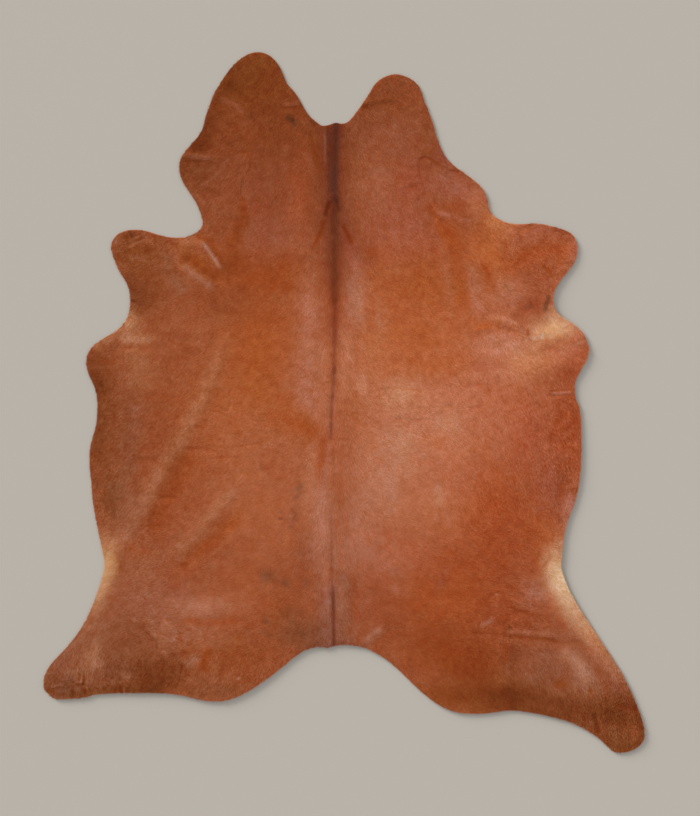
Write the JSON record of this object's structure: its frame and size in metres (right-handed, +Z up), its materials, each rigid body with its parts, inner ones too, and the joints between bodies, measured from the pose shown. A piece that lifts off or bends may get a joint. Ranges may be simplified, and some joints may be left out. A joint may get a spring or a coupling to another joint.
{
  "type": "cowhide rug",
  "caption": "Flat hair-on cowhide rug in red-brown, trimmed to the natural outline of the hide with neck, leg and tail bays, to lie on a floor.",
  "frame": {"origin": "middle of the underside's bounding box, on the floor", "axes": "+Y along the spine towards the neck, +X to the right seen from above with the neck away from the viewer, +Z up out of the hair side"},
  "size_m": [1.8276, 2.13, 0.005],
  "materials": {
    "hide": "hair-on leather, short satin red-brown coat lying back from the spine"
  },
  "bodies": {
    "root": {"hide": "hide"}
  },
  "joints": []
}
